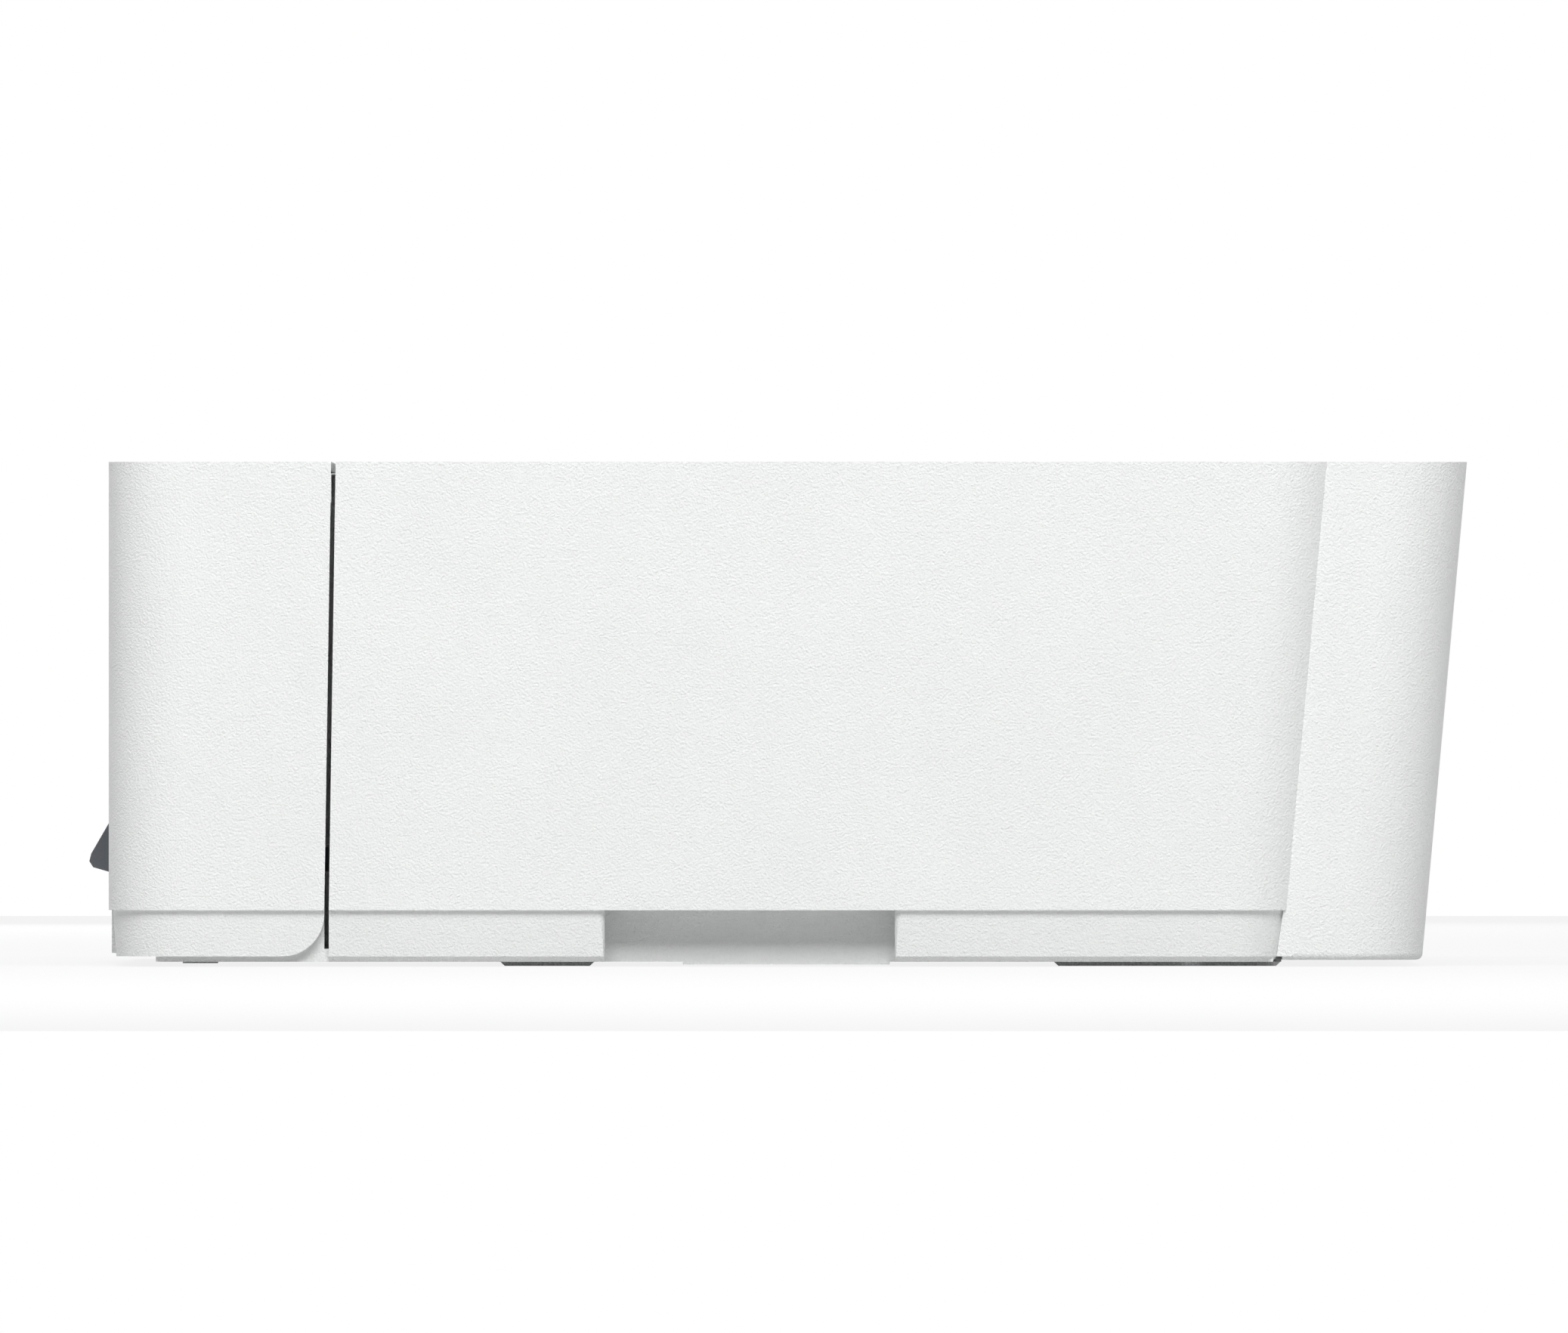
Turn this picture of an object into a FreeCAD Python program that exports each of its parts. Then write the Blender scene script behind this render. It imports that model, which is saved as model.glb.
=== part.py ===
import FreeCAD
import Part
import math
import os

# Slim all-in-one inkjet printer, millimetres, +Z up, front towards -Y.
# The origin is the middle of the footprint, on the surface the feet stand on.

# Overall envelope
width = 432.0
depth = 362.5
height = 132.0

# Moulded shell
wall = 2.5
panel_wall = 3.0
seam_gap = 1.2
cover_gap = 0.8
hinge_gap = 0.6
slide_gap = 0.5
fit_gap = 0.05
tab_reach = 6.5
front_length = 58.4
front_lean = 1.8
front_corner = 19.0
step_z = 14.6
skirt_z = 2.5
skirt_step = 1.1
skirt_draft = 2.0
skirt_corner = 11.0
skirt_bevel = 1.2
rear_length = 36.9
rear_slope = 0.0905
rear_inset = 6.4
rear_corner = 20.0
rear_bottom_round = 1.6
rear_lift = 0.5
panel_corner = 18.0
panel_turn = 50.0
panel_rim = 8.6
base_bottom = 1.1
floor_thick = 3.4
base_front_setback = 12.5
base_wall_top = 16.0
post_radius = 6.0
post_inset_y = 12.0
grip_front = -44.7
grip_rear = 31.2
grip_depth = 9.0
grip_slant = 2.4
grip_round = 2.0

# Feet
foot_width = 16.0
foot_inset = 5.5
foot_bevel = 1.2
front_foot_back = 44.8
front_foot_length = 24.7
rear_foot_inset = 0.2
rear_foot_length = 59.4
runner_span = (-24.3, 29.9)
nose_foot_back = 19.5
nose_foot_length = 9.1
runner_rise = 0.4
nose_rise = 0.7

# Scanner and lid
lid_thick = 10.0
lid_skin = 2.5
lid_back_gap = 0.8
lid_axis_back = 5.8
lid_scoop_width = 64.0
lid_scoop_depth = 9.0
hinge_spread = 240.0
hinge_ear_width = 10.0
hinge_ear_radius = 3.2
hinge_pin_radius = 1.5
hinge_pin_reach = 6.0
hinge_stem = 22.0
bed_gap = 0.7
bed_height = 23.0
bed_wall = 2.5
bed_rear_gap = 3.5
glass_length = 302.0
glass_thick = 3.0
glass_lip = 4.0
glass_front = 16.0
glass_rear = 16.7
scan_rod_radius = 3.0
scan_bar_width = 18.0
scan_slot = 6.0

# Front openings
tray_half = 112.0
mouth_side = 14.0
mouth_over = 4.1
sill = 4.0
door_half = 165.0
door_top_band = 14.0
door_thick = 2.5
door_barrel = 2.3
door_pin_radius = 1.4
door_pin_reach = 4.0
door_boss = 6.0
door_grip_width = 60.0
door_grip_height = 14.0
door_grip_depth = 10.0
door_grip_drop = 1.0
panel_lens_width = 150.0
panel_lens_depth = 30.0
panel_lens_thick = 1.0

# Paper tray and output tray
tray_bottom = 6.0
tray_height = 18.0
tray_wall = 2.0
tray_rear_gap = 7.24
fascia_bottom = 3.0
fascia_thick = 3.0
fascia_side = 12.8
guide_height = 13.0
guide_thick = 2.5
guide_length = 90.0
guide_y = 10.0
rack_width = 9.0
rack_thick = 2.0
pinion_teeth = 14
pinion_module = 1.25
length_guide_width = 46.0
length_guide_back = 25.0
output_thick = 6.4
output_to_eject = 4.0
extender_width = 150.0
extender_thick = 2.6
extender_room = 0.4
nose_top = 39.4
nose_bottom = 23.8
nose_tip = 27.0
nose_knee = 29.0
nose_thick = 2.4
nose_gap = 1.0
nose_round = 0.5
pull_width = 70.0
pull_depth = 9.0
heel_length = 12.0
rack_end = 8.0
rack_toothed = 76.0

# Print mechanism
frame_side_room = 30.0
frame_sheet = 1.6
frame_front = -100.0
frame_rear = -4.0
frame_head = 2.3
rod_radius = 5.0
rod_y = -26.0
rod_drop = 16.3
platen_lift = 5.0
platen_thick = 5.0
platen_front = -86.0
platen_rear = -30.0
feed_y = -16.0
eject_y = -94.0
roller_drop = 48.3
roller_radius = 5.5
shaft_radius = 3.0
nip_gap = 0.4
pinch_radius = 3.0
star_radius = 3.5
roller_half = 108.0
carriage_width = 64.0
carriage_front = -88.0
carriage_rear = -36.0
head_gap = 2.5
carriage_head = 8.3
carriage_wall = 2.2
carriage_park = 48.0
cartridge_gap = 0.6
cartridge_foot = 1.0
latch_thick = 2.0
latch_pin_radius = 1.2
belt_y = -13.0
belt_width = 5.0
belt_thick = 1.2
pulley_radius = 6.0
pulley_inset = 18.0
motor_radius = 14.0
motor_length = 26.0
gear_module = 1.2
gear_width = 5.0
feed_teeth = 30
motor_teeth = 12
gear_spread = 0.35
gear_addendum = 0.8
gear_dedendum = 1.15
tip_share = 0.09
root_share = 0.2
idler_teeth = 36
motor_run = 18.2
motor_bore = 10.0
axle_radius = 2.0
gate_lift = 12.0
rail_width = 8.0
rail_lift = 20.4
wheel_width = 12.0
wheel_places = (-75.0, -25.0, 25.0, 75.0)
pinch_width = 16.0
star_width = 3.0
platen_rib = 1.0
rib_pitch = 30.0
lug_half = 10.0
clip_half = 8.0
latch_drop = 12.0
nozzle_half = 6.0
nozzle_inset = 12.0
station_width = 70.0
station_front = -80.0
station_rear = -42.0
station_clear = 5.5
station_gap = 3.0
absorber_length = 34.0
absorber_height = 14.0
absorber_side = 6.5
absorber_gap = 6.0
sled_thick = 1.2
sled_travel = 8.0
well_depth = 6.0

# Paper path behind the print zone
turn_inset = 7.0
turn_clear = 1.5
turn_radius = 20.0
turn_half = 24.0
turn_channel = 2.0
guide_shell = 2.5
pick_to_turn = 86.0
pick_lift = 12.0
pick_reach = 46.0
pick_drop = 4.0
pick_radius = 9.0
pick_width = 22.0
pick_arm_thick = 4.0
pick_half = 28.0
ramp_gap = 5.0
ramp_foot = 4.0
ramp_run = 7.0
plate_lift = 0.7
turn_places = (-60.0, 0.0, 60.0)

# Electronics and rear panel
board_thick = 1.6
board_in_gap = 4.5
board_out_gap = 14.0
board_front_gap = 4.2
board_z = 12.0
standoff_radius = 3.5
standoff_inset = 6.0
supply_length = 92.0
supply_height = 34.0
supply_back = 13.0
supply_out_gap = 15.0
chip_height = 2.0
chip_places = ((0.0, 0.0, 18.0), (-18.0, 30.0, 10.0), (18.0, -32.0, 12.0))
inlet_size = (24.0, 16.0, 18.0)
socket_inset = 39.6
usb_size = (12.0, 12.0, 11.0)
socket_z = 24.0
button_radius = 7.0
button_gap = 0.4
button_sunk = 0.3
button_pitch = 24.0
button_inset = 21.6
button_z = 92.0
rear_door_half = 92.0
rear_door_bottom = 34.0
rear_door_top = 96.0
screw_radius = 3.2
screw_head = 1.4
screw_grip = 8.0
screw_slot = 0.4

half_turn = 180.0
full_turn = 360.0

# Derived positions
half = width / 2.0
front = -depth / 2.0 + tab_reach
rear = depth / 2.0
V = FreeCAD.Vector


def block(x, y, z):
    return Part.makeBox(x[1] - x[0], y[1] - y[0], z[1] - z[0], V(x[0], y[0], z[0]))


def rod_along_x(radius, x, y, z):
    return Part.makeCylinder(radius, x[1] - x[0], V(x[0], y, z), V(1, 0, 0))


def rod_along_y(radius, x, y, z):
    return Part.makeCylinder(radius, y[1] - y[0], V(x, y[0], z), V(0, 1, 0))


def rod_along_z(radius, x, y, z):
    return Part.makeCylinder(radius, z[1] - z[0], V(x, y, z[0]), V(0, 0, 1))


def side_profile(points, x):
    # Closed outline of (y, z) points drawn in the side view, run from x[0] to x[1]
    corners = [V(x[0], y, z) for y, z in points]
    face = Part.Face(Part.makePolygon(corners + corners[:1]))
    return face.extrude(V(x[1] - x[0], 0, 0))


def front_profile(points, y):
    # Closed outline of (x, z) points drawn in the front view, run from y[0] to y[1]
    corners = [V(x, y[0], z) for x, z in points]
    face = Part.Face(Part.makePolygon(corners + corners[:1]))
    return face.extrude(V(0, y[1] - y[0], 0))


def plan_profile(points, z):
    # Closed outline of (x, y) points drawn in the plan, run from z[0] to z[1]
    corners = [V(x, y, z[0]) for x, y in points]
    face = Part.Face(Part.makePolygon(corners + corners[:1]))
    return face.extrude(V(0, 0, z[1] - z[0]))


def fuse(first, others):
    return first.multiFuse(others).removeSplitter()


def both_sides(shape):
    return [shape, shape.mirror(V(0, 0, 0), V(1, 0, 0))]


def save(name, shape):
    shape.exportStep("parts/" + name + ".step")


def save_many(name, shapes):
    save(name, Part.makeCompound(shapes))


os.makedirs("parts", exist_ok=True)


def lean(z):
    # How far the leaning back has come forward at height z
    return rear_slope * (height - z)


def front_edge(z):
    return front + front_length - front_lean * (height - z) / (height - step_z)


def panel_edge(z):
    return front_edge(z) + seam_gap


def rear_edge(z):
    return rear - rear_length - lean(z)


def arc(centre, radius, start, end, z):
    # Arc in the plan from angle start to angle end, in degrees
    angles = [math.radians(a) for a in (start, (start + end) / 2.0, end)]
    points = [V(centre[0] + radius * math.cos(a), centre[1] + radius * math.sin(a), z) for a in angles]
    return Part.Arc(points[0], points[1], points[2]).toShape()


def closed_wire(pieces, z):
    # Joins arcs and (x, y) corners, given in order, into one closed plan outline
    ends = []
    for piece in pieces:
        if isinstance(piece, tuple):
            ends.append((V(piece[0], piece[1], z), V(piece[0], piece[1], z), None))
        else:
            ends.append((piece.valueAt(piece.FirstParameter), piece.valueAt(piece.LastParameter), piece))
    edges = []
    for here, after in zip(ends, ends[1:] + ends[:1]):
        if here[2] is not None:
            edges.append(here[2])
        edges.append(Part.LineSegment(here[1], after[0]).toShape())
    return Part.Wire(edges)


def front_outline(inset, y_rear, z):
    # Plan of the front section, its two front corners rounded
    x = half - inset
    y = front + inset
    r = front_corner - inset
    left = arc((-x + r, y + r), r, 180, 270, z)
    right = arc((x - r, y + r), r, 270, 360, z)
    return closed_wire([left, right, (x, y_rear), (-x, y_rear)], z)


def rear_outline(inset, y_front, z):
    # Plan of the rear section, its two rear corners rounded
    x = half - rear_inset - inset
    y = rear - lean(z) - inset
    r = rear_corner - inset
    right = arc((x - r, y - r), r, 0, 90, z)
    left = arc((-x + r, y - r), r, 90, 180, z)
    return closed_wire([right, left, (-x, y_front), (x, y_front)], z)


def panel_outline(inset, x_inner, y_front, y_tail, z):
    # Plan of the right side panel, whose rear edge turns inwards
    r = panel_corner - inset
    x_mid = half - panel_corner
    y_mid = rear_edge(z) - panel_corner * math.sin(math.radians(panel_turn))
    turn = arc((x_mid, y_mid), r, 0, panel_turn, z)
    end = turn.valueAt(turn.LastParameter)
    r_in = panel_corner - panel_wall
    heel = arc((x_mid, y_mid), r_in, 0, panel_turn, z)
    heel_end = heel.valueAt(heel.LastParameter)
    path = [(half - inset, y_front), turn]
    if (end - heel_end).Length > fit_gap:
        path.append((heel_end.x, heel_end.y))
    path += [(x_inner, heel_end.y + y_tail), (x_inner, y_front)]
    return closed_wire(path, z)


def loft(lower, upper):
    return Part.makeLoft([lower, upper], True, True)


# Heights that the inner pieces share
floor_top = base_bottom + floor_thick
lid_bottom = height - lid_thick
bed_top = lid_bottom - bed_gap
bed_bottom = bed_top - bed_height
roller_z = bed_bottom - roller_drop
nip_z = roller_z + roller_radius + nip_gap
mouth_half = tray_half + mouth_side
mouth_top = nip_z + mouth_over
door_bottom = mouth_top + sill
door_top = height - door_top_band
base_half = half - skirt_draft - wall
tray_top = tray_bottom + tray_height
output_rear = eject_y - output_to_eject
output_z = tray_top + slide_gap
base_front = front + base_front_setback
base_rear = rear_edge(base_bottom) - fit_gap
tray_rear = base_rear - tray_rear_gap
front_foot = (panel_edge(step_z) + front_foot_back,
              panel_edge(step_z) + front_foot_back + front_foot_length)
rear_foot = (base_rear - rear_foot_inset - rear_foot_length, base_rear - rear_foot_inset)
nose_foot_span = (front + nose_foot_back, front + nose_foot_back + nose_foot_length)
frame_half = half - frame_side_room
frame_top = bed_bottom - frame_head
frame_gate = roller_z + gate_lift
rod_z = bed_bottom - rod_drop
rail_z = roller_z + rail_lift
platen_top = roller_z + platen_lift
carriage_bottom = platen_top + head_gap
carriage_top = bed_bottom - carriage_head
carriage_home = frame_half - carriage_park
latch_z = carriage_top - latch_drop
pulley_x = frame_half - pulley_inset
station_bottom = output_z + station_clear
absorber_y = station_rear + absorber_gap
turn_y = tray_rear - turn_inset
turn_z = tray_top + turn_radius + turn_channel + guide_shell + turn_clear
pick_pivot_y = turn_y - pick_to_turn
pick_pivot_z = tray_top + pick_lift
rear_flat = half - rear_inset - rear_corner
button_x = rear_flat - button_inset
inlet_x = rear_flat - socket_inset
usb_x = -inlet_x
rail_x = tray_half + slide_gap
cheek_x = rail_x + panel_wall + wall
feed_radius = feed_teeth * gear_module / 2.0
motor_gear_radius = motor_teeth * gear_module / 2.0
motor_mesh = feed_radius + motor_gear_radius + gear_spread
motor_angle = math.atan2(floor_top + motor_radius - roller_z, motor_run)
motor_axis = (feed_y + motor_mesh * math.cos(motor_angle), roller_z + motor_mesh * math.sin(motor_angle))
board_x = (-base_half + wall + board_out_gap, -cheek_x - guide_shell - board_in_gap)
board_y = (motor_axis[0] + motor_radius + board_front_gap, tray_rear)
board_mid = ((board_x[0] + board_x[1]) / 2.0, (board_y[0] + board_y[1]) / 2.0)
lid_half = half - panel_rim - cover_gap
lid_front = panel_edge(height)
lid_axis_y = rear_edge(height) + wall - lid_axis_back + lid_thick / 2.0
lid_axis_z = height - lid_thick / 2.0
lid_rear = lid_axis_y + lid_thick / 2.0
deck_front = lid_rear + cover_gap
bed_rear = lid_axis_y - hinge_ear_radius - bed_rear_gap
bed_front = lid_front + cover_gap
bed_half = lid_half
post_x = base_half - wall / 2.0 - post_radius
post_front = panel_edge(step_z) + post_inset_y
panel_bend = rear_edge(base_bottom) - panel_corner
post_rear = panel_bend - post_radius

# Side panels: a plain wall, a rim round the lid and a rear edge that turns inwards
panel_solid = loft(panel_outline(0, half - panel_rim, panel_edge(step_z), 0, step_z),
                   panel_outline(0, half - panel_rim, panel_edge(height), 0, height))
panel_room = loft(panel_outline(panel_wall, half - panel_rim - wall, panel_edge(step_z) - wall, wall,
                                step_z),
                  panel_outline(panel_wall, half - panel_rim - wall, panel_edge(height) - wall, wall,
                                height))
panel_room = panel_room.common(block((-width, width), (-depth, depth), (0, height - wall)))
right_panel = panel_solid.cut(panel_room)
right_panel, left_panel = both_sides(right_panel)
save("right_side_panel", right_panel)
save("left_side_panel", left_panel)

# Front section: one wrap round both corners, with a narrower drafted skirt
front_body = loft(front_outline(0, front_edge(step_z), step_z),
                  front_outline(0, front_edge(height), height))
front_skirt = loft(front_outline(skirt_draft, front_edge(step_z), skirt_z),
                   front_outline(skirt_step, front_edge(step_z), step_z))
front_room = loft(front_outline(wall, front_edge(step_z) + wall, step_z),
                  front_outline(wall, front_edge(height) + wall, height))
front_room = front_room.common(block((-width, width), (-depth, depth), (0, height - wall)))
skirt_room = loft(front_outline(skirt_draft + wall, front_edge(step_z) + wall, 0),
                  front_outline(skirt_draft + wall, front_edge(step_z) + wall, step_z + wall))
corner_y = front_edge(step_z) - skirt_corner
corner_z = skirt_z + skirt_corner
corner_cut = block((-half, half), (corner_y, front_edge(step_z) + wall), (0, corner_z))
corner_cut = corner_cut.cut(rod_along_x(skirt_corner, (-half, half), corner_y, corner_z))
front_skirt = front_skirt.cut(corner_cut)
mouth = block((-mouth_half, mouth_half), (front - wall, front + front_corner), (0, mouth_top))
doorway = block((-door_half, door_half), (front - wall, front + wall + fit_gap), (door_bottom, door_top))
door_axis_y = front + door_barrel
door_axis_z = door_bottom + hinge_gap + door_barrel
door_pivot = block((door_half, door_half + door_boss),
                   (front + wall / 2.0, door_axis_y + door_boss / 2.0),
                   (door_bottom, door_axis_z + door_boss / 2.0))
door_hole = rod_along_x(door_pin_radius + fit_gap, (door_half - wall, door_half + door_boss - wall / 2.0),
                        door_axis_y, door_axis_z)
lens = block((-panel_lens_width / 2.0, panel_lens_width / 2.0),
             (front + front_length / 2.0 - panel_lens_depth / 2.0,
              front + front_length / 2.0 + panel_lens_depth / 2.0),
             (height - panel_lens_thick, height))
scoop = block((-lid_scoop_width / 2.0, lid_scoop_width / 2.0),
              (front_edge(height) - lid_scoop_depth, front_edge(height) + wall),
              (lid_bottom, height))
scoop_tub = block((-lid_scoop_width / 2.0 - wall, lid_scoop_width / 2.0 + wall),
                  (front_edge(height) - lid_scoop_depth - wall, front_edge(height) - front_lean),
                  (lid_bottom - wall, height - wall / 2.0))
front_cover = fuse(front_body.cut(front_room), [front_skirt])
front_cover = front_cover.cut(skirt_room)
front_cover = fuse(front_cover, both_sides(door_pivot) + [scoop_tub])
front_cover = front_cover.cut(mouth).cut(doorway).cut(lens).cut(scoop)
for hole in both_sides(door_hole):
    front_cover = front_cover.cut(hole)
save("front_cover", front_cover)
save("control_panel", lens)


def leaned(shape):
    # Tips a piece drawn on an upright back into the plane of the leaning back
    tipped = shape.copy()
    tipped.rotate(V(0, rear, height), V(1, 0, 0), -math.degrees(math.atan(rear_slope)))
    return tipped


# Rear section: narrower than the side panels and leaning with them
rear_bottom = base_bottom + rear_lift
rear_cover = loft(rear_outline(0, rear_edge(rear_bottom), rear_bottom),
                  rear_outline(0, rear_edge(height), height))
lower_edges = [edge for edge in rear_cover.Edges
               if edge.BoundBox.ZMax < rear_bottom + fit_gap
               and edge.BoundBox.YMax > rear_edge(rear_bottom) + fit_gap]
rear_cover = rear_cover.makeFillet(rear_bottom_round, lower_edges)
turn_share = math.sin(math.radians(panel_turn))
tongue = side_profile([(rear_edge(skirt_z) - skirt_draft * turn_share + fit_gap, skirt_z),
                       (rear_edge(skirt_z) + wall, skirt_z), (rear_edge(step_z) + wall, step_z),
                       (rear_edge(step_z) - skirt_step * turn_share + fit_gap, step_z)],
                      (half - rear_inset - wall, half - rear_inset))
rear_room = loft(rear_outline(wall, rear_edge(0) - wall, 0),
                 rear_outline(wall, rear_edge(height) - wall, height))
rear_room = rear_room.common(block((-width, width), (-depth, depth), (floor_top, height - wall)))
lid_notch = block((-half + panel_rim, half - panel_rim), (0, deck_front), (lid_bottom - wall, height))
rear_axis_y = rear - door_barrel
rear_axis_z = rear_door_bottom + hinge_gap + door_barrel
rear_pivot = block((rear_door_half, rear_door_half + door_boss),
                   (rear_axis_y - door_boss / 2.0, rear - wall / 2.0),
                   (rear_door_bottom, rear_axis_z + door_boss / 2.0))
rear_hole = rod_along_x(door_pin_radius + fit_gap,
                        (rear_door_half - wall, rear_door_half + door_boss - wall / 2.0),
                        rear_axis_y, rear_axis_z)
rear_doorway = block((-rear_door_half, rear_door_half), (rear - wall - fit_gap, rear + wall),
                     (rear_door_bottom, rear_door_top))
button_places = [button_x, button_x - button_pitch]
rear_cover = fuse(rear_cover.cut(rear_room), both_sides(tongue))
rear_cover = fuse(rear_cover, [leaned(boss) for boss in both_sides(rear_pivot)])
inlet_body = block((inlet_x - inlet_size[0] / 2.0, inlet_x + inlet_size[0] / 2.0),
                   (rear - inlet_size[2], rear),
                   (socket_z - inlet_size[1] / 2.0, socket_z + inlet_size[1] / 2.0))
usb_body = block((usb_x - usb_size[0] / 2.0, usb_x + usb_size[0] / 2.0),
                 (rear - usb_size[2], rear),
                 (socket_z - usb_size[1] / 2.0, socket_z + usb_size[1] / 2.0))
rear_cuts = [lid_notch, leaned(rear_doorway), leaned(inlet_body), leaned(usb_body)]
rear_cuts += [leaned(hole) for hole in both_sides(rear_hole)]
for x in button_places:
    rear_cuts.append(leaned(rod_along_y(button_radius + button_gap, x, (rear - door_boss, rear + wall),
                                        button_z)))
for cut in rear_cuts:
    rear_cover = rear_cover.cut(cut)
save("rear_cover", rear_cover)

# Sockets set flush in the back
inlet_room = block((inlet_x - inlet_size[0] / 2.0 + wall, inlet_x + inlet_size[0] / 2.0 - wall),
                   (rear - inlet_size[2] + wall, rear),
                   (socket_z - inlet_size[1] / 2.0 + wall, socket_z + inlet_size[1] / 2.0 - wall))
inlet_pins = [rod_along_y(inlet_size[1] / 12.0, inlet_x + side * inlet_size[0] / 6.0,
                          (rear - inlet_size[2] + wall / 2.0, rear - wall), socket_z) for side in (-1, 1)]
power_inlet = fuse(inlet_body.cut(inlet_room), inlet_pins)
save("power_inlet", leaned(power_inlet))
usb_lip = wall / 2.0
usb_room = block((usb_x - usb_size[0] / 2.0 + usb_lip, usb_x + usb_size[0] / 2.0 - usb_lip),
                 (rear - usb_size[2] + wall, rear),
                 (socket_z - usb_size[1] / 2.0 + usb_lip, socket_z + usb_size[1] / 2.0 - usb_lip))
usb_tongue = block((usb_x - usb_size[0] / 4.0, usb_x + usb_size[0] / 4.0),
                   (rear - usb_size[2] + wall / 2.0, rear - wall),
                   (socket_z - usb_size[1] / 8.0, socket_z + usb_size[1] / 8.0))
save("usb_port", leaned(fuse(usb_body.cut(usb_room), [usb_tongue])))

# Push buttons on the back, each held in by a flange behind the wall
for name, x in zip(("power_button", "wireless_button"), button_places):
    cap = rod_along_y(button_radius, x, (rear - wall * 2.0, rear - button_sunk), button_z)
    flange = rod_along_y(button_radius + wall, x, (rear - wall * 2.0, rear - wall - fit_gap), button_z)
    save(name, leaned(fuse(cap, [flange])))

# Rear door over the paper turn, swinging down on two end pins
leaf = block((-rear_door_half + cover_gap, rear_door_half - cover_gap), (rear - door_thick, rear),
             (rear_axis_z, rear_door_top - cover_gap))
barrel = rod_along_x(door_barrel, (-rear_door_half + cover_gap, rear_door_half - cover_gap),
                     rear_axis_y, rear_axis_z)
door_pins = [rod_along_x(door_pin_radius, (rear_door_half - cover_gap - wall,
                                           rear_door_half + door_pin_reach), rear_axis_y, rear_axis_z)]
rear_door = fuse(leaf, [barrel] + both_sides(door_pins[0]))
save("rear_access_door", leaned(rear_door))

# Front access door over the print carriage, swinging down on two end pins
door_y = front + door_thick
leaf = block((-door_half + cover_gap, door_half - cover_gap), (front, door_y),
             (door_axis_z, door_top - cover_gap))
barrel = rod_along_x(door_barrel, (-door_half + cover_gap, door_half - cover_gap), door_axis_y,
                     door_axis_z)
door_pin = rod_along_x(door_pin_radius, (door_half - cover_gap - wall, door_half + door_pin_reach),
                       door_axis_y, door_axis_z)
pull_top = door_top - cover_gap
pull_room = block((-door_grip_width / 2.0, door_grip_width / 2.0),
                  (front - wall, front + door_grip_depth),
                  (pull_top - door_grip_height, pull_top + wall))
pull_tub = block((-door_grip_width / 2.0 - door_thick, door_grip_width / 2.0 + door_thick),
                 (front + door_thick / 2.0, front + door_grip_depth + door_thick),
                 (pull_top - door_grip_height - door_thick, pull_top - door_grip_drop))
access_door = fuse(leaf, [barrel, pull_tub] + both_sides(door_pin))
access_door = access_door.cut(pull_room)
save("access_door", access_door)

# Base: floor, inner walls, drafted skirt below the side panels, hand grips and posts
heel_x = base_half - rear_inset - wall
floor = plan_profile([(-base_half, base_front), (base_half, base_front), (base_half, panel_bend),
                      (heel_x, base_rear), (-heel_x, base_rear), (-base_half, panel_bend)],
                     (base_bottom, floor_top))
skirt = loft(panel_outline(skirt_draft, base_half - wall, panel_edge(step_z), 0, skirt_z),
             panel_outline(skirt_step, base_half - wall, panel_edge(step_z), 0, step_z))
skirt_edge = loft(panel_outline(skirt_draft + skirt_bevel, base_half - wall, panel_edge(step_z), 0,
                                base_bottom),
                  panel_outline(skirt_draft, base_half - wall, panel_edge(step_z), 0, skirt_z))
inner_wall = block((base_half - wall, base_half), (panel_edge(step_z) + seam_gap, panel_bend),
                   (base_bottom, base_wall_top))
front_wall = block((base_half - wall, base_half), (base_front, front_edge(step_z)),
                   (base_bottom, base_wall_top))
grip_tub = block((base_half - grip_depth - wall, base_half), (grip_front - wall, grip_rear + wall),
                 (base_bottom, step_z + wall))
grip_in = base_half - grip_depth
grip_room = front_profile([(grip_in + grip_slant, 0), (half + wall, 0), (half + wall, step_z),
                           (grip_in, step_z)],
                          (grip_front, grip_rear))
tray_rail = block((rail_x, rail_x + panel_wall), (base_front, tray_rear), (base_bottom, output_z))
skid = block((tray_half / 2.0, tray_half / 2.0 + panel_wall), (base_front, tray_rear),
             (base_bottom, tray_bottom - fit_gap))
post = rod_along_z(post_radius, post_x, post_front, (base_bottom, bed_bottom))
rear_post = rod_along_z(post_radius, post_x, post_rear, (base_bottom, bed_bottom))
base_pieces = []
for piece in (skirt, skirt_edge, inner_wall, front_wall, grip_tub, tray_rail, skid, post, rear_post):
    base_pieces += both_sides(piece)
base_case = fuse(floor, base_pieces)
round_x = half - skirt_step - grip_round
grip_cuts = [grip_room]
for edge, side in ((grip_front, -1), (grip_rear, 1)):
    end = edge + side * grip_round
    corner = block((round_x, half + wall), sorted((edge - side * fit_gap, end)), (0, step_z))
    grip_cuts.append(corner.cut(rod_along_z(grip_round, round_x, end, (0, step_z))))
for cut in grip_cuts:
    for room in both_sides(cut):
        base_case = base_case.cut(room)
runner = block((base_half - foot_inset - foot_width, base_half - foot_inset), runner_span,
               (runner_rise, base_bottom))
nose_foot = block((base_half - foot_inset - foot_width, base_half - foot_inset), nose_foot_span,
                  (nose_rise, base_bottom))
standoffs = [rod_along_z(standoff_radius, x, y, (base_bottom, board_z))
             for x in (board_x[0] + standoff_inset, board_x[1] - standoff_inset)
             for y in (board_y[0] + standoff_inset, board_y[1] - standoff_inset)]
base_case = fuse(base_case, both_sides(runner) + both_sides(nose_foot) + standoffs)
base_case = base_case.cut(front_cover)

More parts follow.
